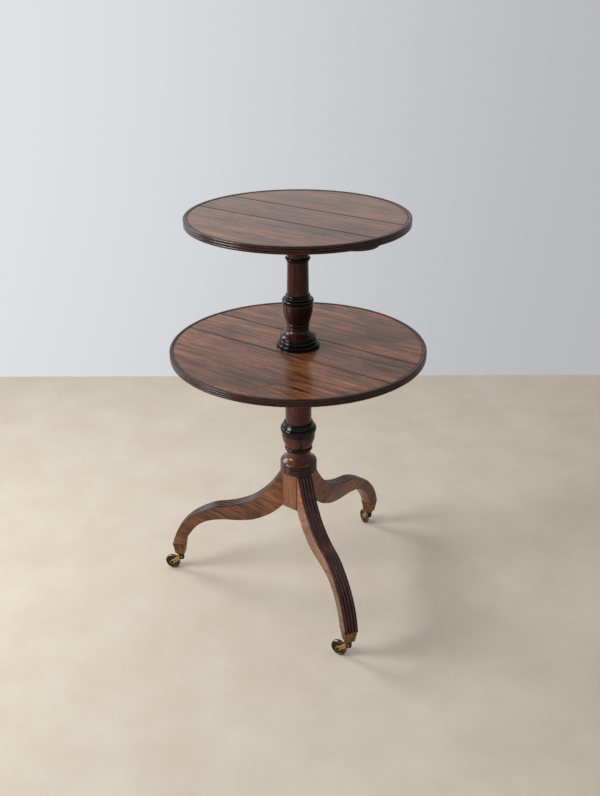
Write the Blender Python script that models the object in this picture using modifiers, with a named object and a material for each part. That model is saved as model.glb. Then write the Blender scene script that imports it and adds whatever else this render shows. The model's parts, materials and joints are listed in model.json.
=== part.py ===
"""Two-tier drop-leaf dumbwaiter table: round tiers on a turned column with three castored legs.

X runs along the leaf hinges, Z is up and the floor is at zero. The leaves are up at rest, and each
bearer lies along its strip. Lengths are in metres.
"""

import math

import bmesh
import bpy
from mathutils import Matrix, Vector

# Heights above the floor, to the rims of the tiers
table_height = 0.950
lower_tier_height = 0.653

# Tiers
top_radius = 0.242
lower_radius = 0.289
tier_thickness = 0.016
lip_height = 0.0011
lip_width = 0.0075
reed_depth = 0.0016
strip_width = 0.112
leaf_joint_gap = 0.0010
tier_reeds = 3

# Clearances: between faces that touch, between parts that turn, and the overrun of every cut
seat_gap = 0.0003
turning_gap = 0.0002
overrun = 0.002

# Bearers
bearer_thickness = 0.025
bearer_side_margin = 0.004
bearer_setback = 0.046
bearer_edge = 0.0015

# Column: hubs that the bearers turn on, and spigots that hold the strips
top_hub_radius = 0.019
lower_hub_radius = 0.022
top_spigot_radius = 0.012
top_spigot_length = 0.0095
joint_spigot_radius = 0.015
joint_spigot_rise = 0.030
plug_radius = 0.006
upper_shaft_radius = 0.0240
lower_shaft_radius = 0.0305
base_margin = 0.0006
base_recess = 0.0003

# Block at the foot of the column
block_apothem = 0.036
block_top = 0.331
block_bottom = 0.234
block_edge = 0.002
leg_turn = -3.5

# Legs
leg_root_width = 0.037
leg_toe_width = 0.0325
leg_toe_depth = 0.0315
leg_chamfer = 0.0015
leg_fillet = 0.0018
leg_reed_height = 0.0019
leg_reeds = 4
dovetail_depth = 0.014
dovetail_neck = 0.014
dovetail_tail = 0.020
dovetail_top_margin = 0.015
toe_radius = 0.311

# Box cups on the toes
cup_bottom = 0.053
cup_height = 0.033
cup_top_side = 0.0315
cup_bottom_side = 0.0235
cup_wall = 0.0016
cup_floor = 0.004
cup_lip_height = 0.003
cup_lip_proud = 0.0011

# Castors
wheel_radius = 0.0195
wheel_width = 0.010
castor_trail = 0.024
stem_radius = 0.004
washer_radius = 0.0068
washer_thickness = 0.0012
stem_head_radius = 0.0056
stem_head_height = 0.0017
toe_clearance = 0.0025
crown_radius = 0.0088
crown_height = 0.0045
yoke_radius = 0.0079
cheek_thickness = 0.0022
cheek_width = 0.0105
axle_radius = 0.0022
axle_head_radius = 0.0034
axle_head_height = 0.0009
wheel_hub_radius = 0.0056
wheel_rim_depth = 0.0042
wheel_web_recess = 0.0013
wheel_tread_edge = 0.0014

# Hinges
hinge_length = 0.028
flap_width = 0.016
flap_thickness = 0.0018
knuckle_radius = 0.0028
hinge_pin_radius = 0.0013
knuckle_clearance = 0.0004
knuckle_overhang = 0.0002
hinge_standoff = 0.0035

# Mouldings of the column, top to bottom: kind, share of the height, and radius at the top and at
# the bottom as shares of the shaft's radius. A bead bulges from its first radius to its second.
upper_moulding_shares = (
    ("fillet", 0.0241, 1.44, 1.44),
    ("ogee", 0.1168, 1.36, 1.00),
    ("fillet", 0.0514, 1.00, 1.00),
    ("bead", 0.0237, 1.03, 1.16),
    ("fillet", 0.0136, 1.03, 1.03),
    ("fillet", 0.2908, 0.97, 1.03),
    ("bead", 0.0234, 1.06, 1.16),
    ("fillet", 0.0156, 1.10, 1.14),
    ("bead", 0.0350, 1.32, 1.48),
    ("fillet", 0.0117, 1.42, 1.42),
    ("fillet", 0.0117, 1.37, 1.37),
    ("vase", 0.1615, 1.40, 1.07),
    ("bead", 0.0273, 1.03, 1.10),
    ("bell", 0.0934, 1.02, 1.63),
    ("fillet", 0.0214, 1.68, 1.70),
    ("fillet", 0.0078, 1.62, 1.62),
    ("bead", 0.0292, 1.66, 1.77),
    ("fillet", 0.0058, 1.72, 1.72),
    ("bead", 0.0214, 1.84, 1.95),
    ("fillet", 0.0144, 2.05, 2.05),
)
lower_moulding_shares = (
    ("fillet", 0.0217, 1.25, 1.25),
    ("ogee", 0.1083, 1.18, 1.00),
    ("fillet", 0.0289, 1.00, 1.00),
    ("bead", 0.0217, 1.00, 1.12),
    ("fillet", 0.3591, 0.99, 1.01),
    ("bead", 0.0199, 1.07, 1.15),
    ("fillet", 0.0202, 1.12, 1.22),
    ("bead", 0.0524, 1.27, 1.40),
    ("fillet", 0.0145, 1.31, 1.31),
    ("fillet", 0.0145, 1.28, 1.28),
    ("vase", 0.1120, 1.29, 0.98),
    ("bead", 0.0303, 1.00, 1.09),
    ("bell", 0.1050, 0.93, 1.42),
    ("bead", 0.0183, 1.40, 1.44),
    ("bead", 0.0183, 1.40, 1.44),
    ("bead", 0.0183, 1.40, 1.44),
    ("bead", 0.0183, 1.40, 1.44),
    ("bead", 0.0183, 1.40, 1.44),
)

# The leg's edges as shares of the run from the block to the toe and of the drop to the cup
leg_upper_shares = (
    (0.000, 1.000), (0.035, 0.944), (0.084, 0.847), (0.154, 0.743), (0.279, 0.622), (0.443, 0.542),
    (0.611, 0.500), (0.750, 0.418), (0.855, 0.318), (0.935, 0.197), (0.979, 0.081), (1.000, 0.000),
)
leg_lower_shares = (
    (0.000, 1.000), (0.063, 0.888), (0.133, 0.789), (0.211, 0.714), (0.309, 0.645), (0.446, 0.609),
    (0.611, 0.595), (0.755, 0.536), (0.861, 0.418), (0.935, 0.250), (0.979, 0.118), (1.000, 0.000),
)

# Legs by name, with the angle that each castor trails at
leg_angles = {"back": 90.0, "left": 210.0, "front": 330.0}
trail_angles = {"back": 150.0, "left": 200.0, "front": 182.0}

# Fineness of the round forms
turning_steps = 16
tier_steps = 44
bead_steps = 3
curve_steps = 4
leg_steps = 2
leg_bead_steps = 2
wheel_steps = 16
small_steps = 12
pin_steps = 8
bearer_end_steps = 8

# Finishes: colour, roughness, metallic
top_mahogany = ((0.22, 0.10, 0.05), 0.30, 0.0)
column_mahogany = ((0.13, 0.04, 0.02), 0.28, 0.0)
leg_mahogany = ((0.26, 0.10, 0.04), 0.35, 0.0)
bearer_mahogany = ((0.10, 0.04, 0.02), 0.45, 0.0)
brass = ((0.42, 0.27, 0.10), 0.40, 1.0)
dark_brass = ((0.10, 0.08, 0.05), 0.45, 1.0)
steel = ((0.25, 0.24, 0.23), 0.40, 1.0)

# Heights that follow from the values above
top_underside = table_height - tier_thickness
top_surface = table_height - lip_height
lower_underside = lower_tier_height - tier_thickness
lower_surface = lower_tier_height - lip_height
top_bearer_bottom = top_underside - seat_gap - bearer_thickness
lower_bearer_bottom = lower_underside - seat_gap - bearer_thickness
top_shoulder = top_bearer_bottom - seat_gap
lower_shoulder = lower_bearer_bottom - seat_gap
upper_column_base = lower_surface - base_recess + seat_gap
cup_top = cup_bottom + cup_height
leg_end = cup_top + seat_gap
leg_root = block_apothem + seat_gap

# The round under the upper column's base, where nothing can stand on the lower tier
base_radius = upper_moulding_shares[-1][3] * upper_shaft_radius + base_margin

# Hinge lines
strip_half = strip_width / 2
hinge_line = strip_half + leaf_joint_gap / 2
pin_drop = knuckle_radius - flap_thickness
relief_radius = knuckle_radius + knuckle_clearance

for old in list(bpy.data.objects):
    bpy.data.objects.remove(old)

parts = bpy.data.collections.new("dumbwaiter_table")
cutters = bpy.data.collections.new("cutters")
bpy.context.scene.collection.children.link(parts)
bpy.context.scene.collection.children.link(cutters)


# Helpers for objects

def material(name, finish):
    colour, roughness, metallic = finish
    made = bpy.data.materials.new(name)
    made.use_nodes = True
    shader = made.node_tree.nodes["Principled BSDF"]
    shader.inputs["Base Color"].default_value = (*colour, 1.0)
    shader.inputs["Roughness"].default_value = roughness
    shader.inputs["Metallic"].default_value = metallic
    return made


def pivot(name, location, parent=None):
    """An empty on a joint's axis. Its place is given from the column's axis."""
    empty = bpy.data.objects.new(name, None)
    parts.objects.link(empty)
    empty.parent = parent
    empty.location = Vector(location) - from_column_axis(parent)
    return empty


def from_column_axis(obj):
    """Where an unturned object stands, from the column's axis."""
    place = Vector()
    while obj is not None and obj != column_axis:
        place += obj.location
        obj = obj.parent
    return place


def piece(name, mesh, finish, parent, location=(0, 0, 0), turn=0.0):
    """A part from a mesh, with its place given from the column's axis."""
    obj = bpy.data.objects.new(name, mesh.copy())
    obj.data.name = name
    obj.data.materials.clear()
    obj.data.materials.append(material(name, finish))
    parts.objects.link(obj)
    obj.parent = parent
    obj.location = Vector(location) - from_column_axis(parent)
    obj.rotation_euler.z = math.radians(turn)
    return obj


def cutter(name, mesh, location=(0, 0, 0), turn=0.0, parent=None):
    obj = bpy.data.objects.new(name, mesh)
    cutters.objects.link(obj)
    obj.parent = parent
    obj.location = location
    obj.rotation_euler.z = math.radians(turn)
    obj.hide_render = True
    obj.display_type = "WIRE"
    return obj


def combine(obj, operation, other):
    modifier = obj.modifiers.new(other.name, "BOOLEAN")
    modifier.operation = operation
    modifier.object = other
    modifier.solver = "EXACT"


def shade_round(mesh):
    mesh.shade_smooth()
    mesh.set_sharp_from_angle(angle=math.radians(30))


def evaluated_mesh(obj):
    bpy.context.view_layer.update()
    graph = bpy.context.evaluated_depsgraph_get()
    return bpy.data.meshes.new_from_object(obj.evaluated_get(graph))


def finished_mesh(obj):
    """The mesh of an object with its modifiers applied. The object and its cutters go."""
    mesh = evaluated_mesh(obj)
    used = [modifier.object for modifier in obj.modifiers if modifier.type == "BOOLEAN"]
    bpy.data.objects.remove(obj)
    for other in used:
        bpy.data.objects.remove(other)
    shade_round(mesh)
    return mesh


# Helpers for shapes

def mesh_from(name, shape):
    mesh = bpy.data.meshes.new(name)
    shape.to_mesh(mesh)
    shape.free()
    return mesh


def box(name, low, high):
    low, high = Vector(low), Vector(high)
    shape = bmesh.new()
    bmesh.ops.create_cube(shape, size=1, matrix=Matrix.LocRotScale((low + high) / 2, None, high - low))
    return mesh_from(name, shape)


def cylinder(name, radius, low, high, steps, axis="Z", centre=(0, 0, 0)):
    """A cylinder along an axis from low to high, about a centre."""
    return cone(name, radius, radius, low, high, steps, axis, centre)


def cone(name, low_radius, high_radius, low, high, steps, axis="Z", centre=(0, 0, 0), twist=0.0):
    shape = bmesh.new()
    bmesh.ops.create_cone(
        shape, cap_ends=True, segments=steps, radius1=low_radius, radius2=high_radius, depth=high - low
    )
    turns = {
        "X": Matrix.Rotation(math.radians(90), 4, "Y"),
        "Y": Matrix.Rotation(math.radians(-90), 4, "X"),
        "Z": Matrix.Identity(4),
    }
    along = Matrix.Translation((0, 0, (low + high) / 2))
    spun = Matrix.Rotation(math.radians(twist), 4, "Z")
    bmesh.ops.transform(
        shape, matrix=Matrix.Translation(centre) @ turns[axis] @ along @ spun, verts=shape.verts
    )
    return mesh_from(name, shape)


def square_taper(name, low_side, high_side, low, high):
    """A four-sided taper with its sides square to X and Y."""
    corner = math.sqrt(2) / 2
    return cone(name, low_side * corner, high_side * corner, low, high, 4, twist=45)


def slab(name, outline, low, high):
    """A flat outline, filled and made solid from low to high."""
    curve = bpy.data.curves.new(name, "CURVE")
    curve.dimensions = "2D"
    curve.fill_mode = "BOTH"
    curve.extrude = (high - low) / 2
    spline = curve.splines.new("POLY")
    spline.points.add(len(outline) - 1)
    for point, (x, y) in zip(spline.points, outline):
        point.co = (x, y, 0, 1)
    spline.use_cyclic_u = True
    holder = bpy.data.objects.new(name, curve)
    cutters.objects.link(holder)
    mesh = evaluated_mesh(holder)
    bpy.data.objects.remove(holder)
    shape = bmesh.new()
    shape.from_mesh(mesh)
    bmesh.ops.remove_doubles(shape, verts=shape.verts, dist=seat_gap / 10)
    bmesh.ops.translate(shape, vec=(0, 0, (low + high) / 2), verts=shape.verts)
    shape.to_mesh(mesh)
    shape.free()
    return mesh


def joined(name, meshes):
    """Several meshes in one, for cutters that stand apart from each other."""
    shape = bmesh.new()
    for mesh in meshes:
        shape.from_mesh(mesh)
    return mesh_from(name, shape)


def profile(name, points, closed=False):
    """A profile in the XZ plane, to be turned about Z. Its outer side runs top to bottom."""
    shape = bmesh.new()
    verts = [shape.verts.new((radius, 0, height)) for radius, height in points]
    for first, second in zip(verts, verts[1:]):
        shape.edges.new((first, second))
    if closed:
        shape.edges.new((verts[-1], verts[0]))
    return mesh_from(name, shape)


def turn_on_lathe(obj, steps):
    modifier = obj.modifiers.new("turning", "SCREW")
    modifier.steps = modifier.render_steps = steps
    modifier.use_merge_vertices = True
    modifier.merge_threshold = 0.00001
    modifier.use_smooth_shade = True


def smooth_through(points, steps):
    """A Catmull-Rom curve through the points, with a number of steps between each two."""
    padded = [points[0]] + list(points) + [points[-1]]
    curve = []
    for a, b, c, d in zip(padded, padded[1:], padded[2:], padded[3:]):
        for step in range(steps):
            t = step / steps
            curve.append(tuple(
                0.5 * (2 * q + (r - p) * t + (2 * p - 5 * q + 4 * r - s) * t**2
                       + (3 * q - p - 3 * r + s) * t**3)
                for p, q, r, s in zip(a, b, c, d)
            ))
    return curve + [tuple(points[-1])]


def moulding(kind, top, height, first, last):
    """Points (radius, height) of one moulding, from its top down."""
    if kind == "fillet":
        return [(first, top), (last, top - height)]
    if kind == "bead":
        angles = [math.pi * step / bead_steps for step in range(bead_steps + 1)]
        return [
            (first + (last - first) * math.sin(angle), top - height * (1 - math.cos(angle)) / 2)
            for angle in angles
        ]
    shares = [step / curve_steps for step in range(curve_steps + 1)]
    blends = {
        "ogee": lambda t: (1 - math.cos(math.pi * t)) / 2,
        "vase": lambda t: t**2,
        "bell": lambda t: (1 - math.cos(math.pi * t**2.6)) / 2,
    }
    return [(first + (last - first) * blends[kind](share), top - height * share) for share in shares]


def column_outline(shares, radius, top, bottom):
    """The turned outline of a column between two heights, from its table of mouldings."""
    whole = sum(share for _, share, _, _ in shares)
    points = []
    height_now = top
    for kind, share, first, last in shares:
        height = (top - bottom) * share / whole
        for point in moulding(kind, height_now, height, first * radius, last * radius):
            if not points or math.dist(points[-1], point) > seat_gap:
                points.append(point)
        height_now -= height
    return points


# Where the column stands: the origin is under the middle of the table's footprint

def castor_place(name):
    angle = math.radians(leg_angles[name] + leg_turn)
    return Vector((toe_radius * math.cos(angle), toe_radius * math.sin(angle), 0))


def footprint():
    """The lowest and highest x and y of the table from the column's axis."""
    spots = [Vector((side * lower_radius, side * lower_radius, 0)) for side in (-1, 1)]
    for name, trail in trail_angles.items():
        away = Vector((math.cos(math.radians(trail)), math.sin(math.radians(trail)), 0))
        spots.append(castor_place(name) + away * (castor_trail + wheel_radius))
    return [(min(spot[axis] for spot in spots), max(spot[axis] for spot in spots)) for axis in (0, 1)]


(left_reach, right_reach), (front_reach, back_reach) = footprint()
column_axis = bpy.data.objects.new("column_axis", None)
parts.objects.link(column_axis)
column_axis.location = (-(left_reach + right_reach) / 2, -(front_reach + back_reach) / 2, 0)


# Columns

def lower_column():
    """Hub and spigot on top, mouldings, and the six-sided block with its three dovetail sockets."""
    hub_top = lower_underside - seat_gap
    spigot_top = lower_surface + joint_spigot_rise
    outline = [
        (0, spigot_top), (joint_spigot_radius, spigot_top), (joint_spigot_radius, hub_top),
        (lower_hub_radius, hub_top), (lower_hub_radius, lower_shoulder),
    ]
    outline += column_outline(lower_moulding_shares, lower_shaft_radius, lower_shoulder, block_top)
    outline += [(0, block_top)]
    pillar = piece("lower_column", profile("pillar", outline), column_mahogany, column_axis)
    turn_on_lathe(pillar, turning_steps)
    corner = block_apothem / math.cos(math.radians(30))
    block_shape = cone("block", corner, corner, block_bottom, block_top + overrun, 6, twist=30)
    block = cutter("block", block_shape, turn=leg_turn, parent=column_axis)
    rounding = block.modifiers.new("edges", "BEVEL")
    rounding.width = block_edge
    rounding.segments = 2
    rounding.limit_method = "ANGLE"
    combine(pillar, "UNION", block)
    for name, angle in leg_angles.items():
        socket = slab(
            f"{name}_socket", dovetail(seat_gap, overrun),
            block_bottom - overrun, block_top - dovetail_top_margin + seat_gap,
        )
        place = cutter(f"{name}_socket", socket, turn=angle + leg_turn, parent=column_axis)
        combine(pillar, "DIFFERENCE", place)


def dovetail(clearance, past_face):
    """The dovetail's outline seen from above, with its neck at the block's face."""
    neck, tail = dovetail_neck / 2 + clearance, dovetail_tail / 2 + clearance
    face, end = block_apothem, block_apothem - dovetail_depth - clearance
    return [(end, -tail), (face, -neck), (face + past_face, -neck), (face + past_face, neck),
            (face, neck), (end, tail)]


def upper_column():
    """Spigot and hub on top, mouldings, and a bore in the base for the lower column's spigot."""
    hub_top = top_underside - seat_gap
    spigot_top = top_underside + top_spigot_length
    bore_radius = joint_spigot_radius + seat_gap
    bore_top = lower_surface + joint_spigot_rise + seat_gap
    outline = [
        (0, spigot_top), (top_spigot_radius, spigot_top), (top_spigot_radius, hub_top),
        (top_hub_radius, hub_top), (top_hub_radius, top_shoulder),
    ]
    outline += column_outline(upper_moulding_shares, upper_shaft_radius, top_shoulder, upper_column_base)
    outline += [(bore_radius, upper_column_base), (bore_radius, bore_top), (0, bore_top)]
    pillar = piece("upper_column", profile("upper_column", outline), column_mahogany, column_axis)
    turn_on_lathe(pillar, turning_steps)


# Legs

def leg_section(upper, lower, width):
    """One section of a leg: a flat underside with small chamfers, and reeds along the top."""
    upper, lower = Vector((upper[0], 0, upper[1])), Vector((lower[0], 0, lower[1]))
    rise = (upper - lower).normalized()
    half = width / 2
    bed = upper - rise * leg_reed_height
    side = [(half - leg_chamfer, lower), (half, lower + rise * leg_chamfer), (half, bed)]
    reed_width = (width - 2 * leg_fillet) / leg_reeds
    top = []
    for reed in range(leg_reeds):
        start = half - leg_fillet - reed_width * reed
        for step in range(leg_bead_steps):
            angle = math.pi * step / leg_bead_steps
            across = start - reed_width * (1 - math.cos(angle)) / 2
            top.append((across, bed + rise * leg_reed_height * math.sin(angle)))
    top.append((leg_fillet - half, bed))
    other = [(-across, point) for across, point in reversed(side)]
    return [point + Vector((0, across, 0)) for across, point in side + top + other]


def loft(name, sections):
    """A closed solid through rings of as many points each."""
    shape = bmesh.new()
    rings = [[shape.verts.new(point) for point in section] for section in sections]
    for first, second in zip(rings, rings[1:]):
        for i in range(len(first)):
            j = (i + 1) % len(first)
            shape.faces.new((first[i], second[i], second[j], first[j]))
    shape.faces.new(rings[0])
    shape.faces.new(list(reversed(rings[-1])))
    bmesh.ops.recalc_face_normals(shape, faces=shape.faces)
    return mesh_from(name, shape)


def edge_points(shares, toe, root_height):
    """An edge of the leg in real lengths, from the block's face to the toe."""
    points = [
        (leg_root + (toe - leg_root) * run, leg_end + (root_height - leg_end) * rise)
        for run, rise in shares
    ]
    return smooth_through(points, leg_steps)


def leg_mesh():
    """A leg that runs along +X: its curved body, its dovetail and the tenon in its cup."""
    outer_toe = toe_radius + leg_toe_depth / 2
    inner_toe = toe_radius - leg_toe_depth / 2
    uppers = edge_points(leg_upper_shares, outer_toe, block_top - seat_gap)
    lowers = edge_points(leg_lower_shares, inner_toe, block_bottom)
    sections = []
    for index, (upper, lower) in enumerate(zip(uppers, lowers)):
        along = index / (len(uppers) - 1)
        width = leg_root_width + (leg_toe_width - leg_root_width) * along
        sections.append(leg_section(upper, lower, width))
    body = bpy.data.objects.new("leg", loft("leg", sections))
    parts.objects.link(body)
    tongue = slab(
        "tongue", dovetail(0, overrun), block_bottom + seat_gap, block_top - dovetail_top_margin
    )
    combine(body, "UNION", cutter("tongue", tongue))
    tenon_bottom = cup_bottom + cup_floor + washer_thickness + stem_head_height + toe_clearance
    tenon = square_taper(
        "tenon", cup_inside(tenon_bottom) - 2 * seat_gap, cup_inside(leg_end) - 2 * seat_gap,
        tenon_bottom, leg_end + overrun,
    )
    combine(body, "UNION", cutter("tenon", tenon, location=(toe_radius, 0, 0)))
    return finished_mesh(body)


# Cups and castors

def cup_side(height):
    """The cup's outside width at a height."""
    share = (height - cup_bottom) / cup_height
    return cup_bottom_side + (cup_top_side - cup_bottom_side) * share


def cup_inside(height):
    return cup_side(height) - 2 * cup_wall


def cup_mesh():
    """A tapered square socket with a lip, and a floor that the castor's stem goes through."""
    cup = bpy.data.objects.new("cup", square_taper(
        "cup", cup_bottom_side, cup_top_side, cup_bottom, cup_top
    ))
    parts.objects.link(cup)
    lip_bottom = cup_top - cup_lip_height
    lip = square_taper(
        "lip", cup_side(lip_bottom) + 2 * cup_lip_proud, cup_top_side + 2 * cup_lip_proud,
        lip_bottom, cup_top,
    )
    combine(cup, "UNION", cutter("lip", lip))
    floor_top = cup_bottom + cup_floor
    hollow = square_taper(
        "hollow", cup_inside(floor_top), cup_inside(cup_top + overrun), floor_top, cup_top + overrun
    )
    combine(cup, "DIFFERENCE", cutter("hollow", hollow))
    bore = cylinder(
        "stem_bore", stem_radius + turning_gap, cup_bottom - overrun, floor_top + overrun, small_steps
    )
    combine(cup, "DIFFERENCE", cutter("stem_bore", bore))
    return finished_mesh(cup)


def washer_mesh():
    """A flat ring on the cup's floor, under the stem's riveted head."""
    bottom = cup_bottom + cup_floor + seat_gap
    top = bottom + washer_thickness
    inner = stem_radius + turning_gap
    ring = [(inner, top), (washer_radius, top), (washer_radius, bottom), (inner, bottom)]
    obj = bpy.data.objects.new("washer", profile("washer", ring, closed=True))
    parts.objects.link(obj)
    turn_on_lathe(obj, small_steps)
    return finished_mesh(obj)


def fork_mesh():
    """Stem, crown, yoke and two cheeks. The stem is at the origin and the wheel trails along +X."""
    head_bottom = cup_bottom + cup_floor + seat_gap + washer_thickness + seat_gap
    crown_top = cup_bottom - seat_gap
    crown_bottom = crown_top - crown_height
    stem = [
        (0, head_bottom + stem_head_height), (stem_head_radius, head_bottom + stem_head_height),
        (stem_head_radius, head_bottom), (stem_radius, head_bottom), (stem_radius, crown_top),
        (crown_radius, crown_top), (crown_radius, crown_bottom), (yoke_radius, crown_bottom),
        (yoke_radius, yoke_bottom()), (0, yoke_bottom()),
    ]
    fork = bpy.data.objects.new("fork", profile("fork", stem))
    parts.objects.link(fork)
    turn_on_lathe(fork, small_steps)
    inner = wheel_width / 2 + seat_gap
    for side in (-1, 1):
        low, high = sorted((side * inner, side * (inner + cheek_thickness)))
        cheek = slab(f"cheek_{side}", cheek_outline(), low, high)
        cheek.transform(Matrix.Rotation(math.radians(90), 4, "X"))
        combine(fork, "UNION", cutter(f"cheek_{side}", cheek))
    reach = inner + cheek_thickness + overrun
    bore = cylinder(
        "axle_bore", axle_radius + turning_gap, -reach, reach, small_steps,
        axis="Y", centre=(castor_trail, 0, wheel_radius),
    )
    combine(fork, "DIFFERENCE", cutter("axle_bore", bore))
    return finished_mesh(fork)


def yoke_bottom():
    """The yoke ends where the wheel's tread comes near it."""
    beside = castor_trail - yoke_radius - overrun
    if beside >= wheel_radius:
        return wheel_radius
    return wheel_radius + math.sqrt(wheel_radius**2 - beside**2)


def cheek_outline():
    """A plate with round ends, in x and z, from under the crown to the axle."""
    upper = Vector((0, (cup_bottom - seat_gap - crown_height + yoke_bottom()) / 2))
    lower = Vector((castor_trail, wheel_radius))
    heading = math.atan2(lower.y - upper.y, lower.x - upper.x)
    points = []
    for centre, start in ((lower, heading - math.pi / 2), (upper, heading + math.pi / 2)):
        for step in range(curve_steps + 1):
            angle = start + math.pi * step / curve_steps
            out = Vector((math.cos(angle), math.sin(angle)))
            points.append(tuple(centre + out * cheek_width / 2))
    return points


def wheel_mesh():
    """A wheel about Y with a hub, a recessed web and a rounded tread."""
    bore, half = axle_radius + turning_gap, wheel_width / 2
    web = half - wheel_web_recess
    rim = wheel_radius - wheel_rim_depth
    side = [
        (bore, half), (wheel_hub_radius, half), (wheel_hub_radius, web), (rim, web),
        (rim, half), (wheel_radius - wheel_tread_edge, half), (wheel_radius, half - wheel_tread_edge),
    ]
    ring = side + [(radius, -across) for radius, across in reversed(side)]
    obj = bpy.data.objects.new("wheel", profile("wheel", ring, closed=True))
    parts.objects.link(obj)
    turn_on_lathe(obj, wheel_steps)
    mesh = finished_mesh(obj)
    mesh.transform(Matrix.Rotation(math.radians(90), 4, "X"))
    return mesh


def axle_mesh():
    """A pin about Y with a riveted head at each end, just outside the cheeks."""
    reach = wheel_width / 2 + seat_gap + cheek_thickness + seat_gap
    end = reach + axle_head_height
    outline = [
        (0, end), (axle_head_radius, end), (axle_head_radius, reach), (axle_radius, reach),
        (axle_radius, -reach), (axle_head_radius, -reach), (axle_head_radius, -end), (0, -end),
    ]
    obj = bpy.data.objects.new("axle", profile("axle", outline))
    parts.objects.link(obj)
    turn_on_lathe(obj, pin_steps)
    mesh = finished_mesh(obj)
    mesh.transform(Matrix.Rotation(math.radians(90), 4, "X"))
    return mesh


def legs_and_castors():
    leg, cup, washer, fork = leg_mesh(), cup_mesh(), washer_mesh(), fork_mesh()
    wheel, axle = wheel_mesh(), axle_mesh()
    for name, angle in leg_angles.items():
        toe = castor_place(name)
        piece(f"{name}_leg", leg, leg_mahogany, column_axis, turn=angle + leg_turn)
        piece(f"{name}_castor_cup", cup, brass, column_axis, toe, turn=angle + leg_turn)
        piece(f"{name}_castor_washer", washer, steel, column_axis, toe)
        swivel = piece(f"{name}_castor_fork", fork, brass, column_axis, toe, turn=trail_angles[name])
        hub = (castor_trail, 0, wheel_radius)
        for kind, mesh, finish in (("wheel", wheel, dark_brass), ("axle", axle, steel)):
            part = piece(f"{name}_castor_{kind}", mesh, finish, None, hub)
            part.parent = swivel


# Tiers

def rim_outline(radius, underside, covered_radius):
    """Half of a round tier: a sunk surface, a low lip and the reeded edge."""
    top = underside + tier_thickness
    surface = top - lip_height
    points = [(0, surface)]
    if covered_radius:
        floor = surface - base_recess
        points = [(0, floor), (covered_radius, floor), (covered_radius, surface)]
    points += [(radius - lip_width, surface), (radius - lip_width + lip_height, top)]
    reed_height = tier_thickness / tier_reeds
    for reed in range(tier_reeds):
        for step in range(bead_steps + 1):
            angle = math.pi * step / bead_steps
            point = (
                radius - reed_depth + reed_depth * math.sin(angle),
                top - reed_height * (reed + (1 - math.cos(angle)) / 2),
            )
            if math.dist(points[-1], point) > seat_gap:
                points.append(point)
    return points + [(0, underside)]


def bearer_reach(radius):
    return radius - bearer_setback


def hinge_places(radius):
    """Where the middles of the hinges lie along the joint: just outside the bearer's sweep."""
    sweep = bearer_reach(radius) + hinge_standoff
    inner_end = math.sqrt(sweep**2 - (hinge_line - relief_radius) ** 2)
    return [side * (inner_end + hinge_length / 2) for side in (-1, 1)]


def hinge_cutters(tier, radius, underside):
    """The pockets for the flaps and the round reliefs for the knuckles of one tier."""
    half = hinge_length / 2 + knuckle_clearance
    across = flap_width + knuckle_clearance
    pockets, reliefs = [], []
    for x in hinge_places(radius):
        for y in (-hinge_line, hinge_line):
            pockets.append(box(
                "pocket", (x - half, y - across, underside - overrun),
                (x + half, y + across, underside + flap_thickness + seat_gap),
            ))
            reliefs.append(cylinder(
                "relief", relief_radius, x - half, x + half, small_steps,
                axis="X", centre=(0, y, underside - pin_drop),
            ))
    return (
        cutter(f"{tier}_flap_pockets", joined("pockets", pockets), parent=column_axis),
        cutter(f"{tier}_knuckle_reliefs", joined("reliefs", reliefs), parent=column_axis),
    )


def tier(name, radius, underside, bore_radius, bore_top, covered_radius=0):
    """One tier, turned as a whole and sawn into a strip and two leaves, with its hinges."""
    outline = profile(name, rim_outline(radius, underside, covered_radius))
    pockets, reliefs = hinge_cutters(name, radius, underside)
    reach = radius + overrun
    low, high = underside - overrun, underside + tier_thickness + overrun
    strip = piece(f"{name}_strip", outline, top_mahogany, column_axis)
    saw = box("saw", (-reach, -strip_half, low), (reach, strip_half, high))
    bore = cylinder(f"{name}_bore", bore_radius, low, bore_top, turning_steps)
    turn_on_lathe(strip, tier_steps)
    combine(strip, "INTERSECT", cutter(f"{name}_strip_saw", saw, parent=column_axis))
    combine(strip, "DIFFERENCE", cutter(f"{name}_bore", bore, parent=column_axis))
    combine(strip, "DIFFERENCE", pockets)
    combine(strip, "DIFFERENCE", reliefs)
    for side, sign in (("back", 1), ("front", -1)):
        axis = (0, sign * hinge_line, underside - pin_drop)
        hinge_axis = pivot(f"{name}_{side}_leaf_axis", axis, column_axis)
        leaf = piece(f"{name}_{side}_leaf", outline, top_mahogany, hinge_axis)
        turn_on_lathe(leaf, tier_steps)
        near, far = sorted((sign * (strip_half + leaf_joint_gap), sign * reach))
        saw = box("saw", (-reach, near, low), (reach, far, high))
        combine(leaf, "INTERSECT", cutter(f"{name}_{side}_saw", saw, parent=column_axis))
        combine(leaf, "DIFFERENCE", pockets)
        combine(leaf, "DIFFERENCE", reliefs)
        hinges(f"{name}_{side}", sign, radius, axis, hinge_axis)


# Hinges

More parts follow.
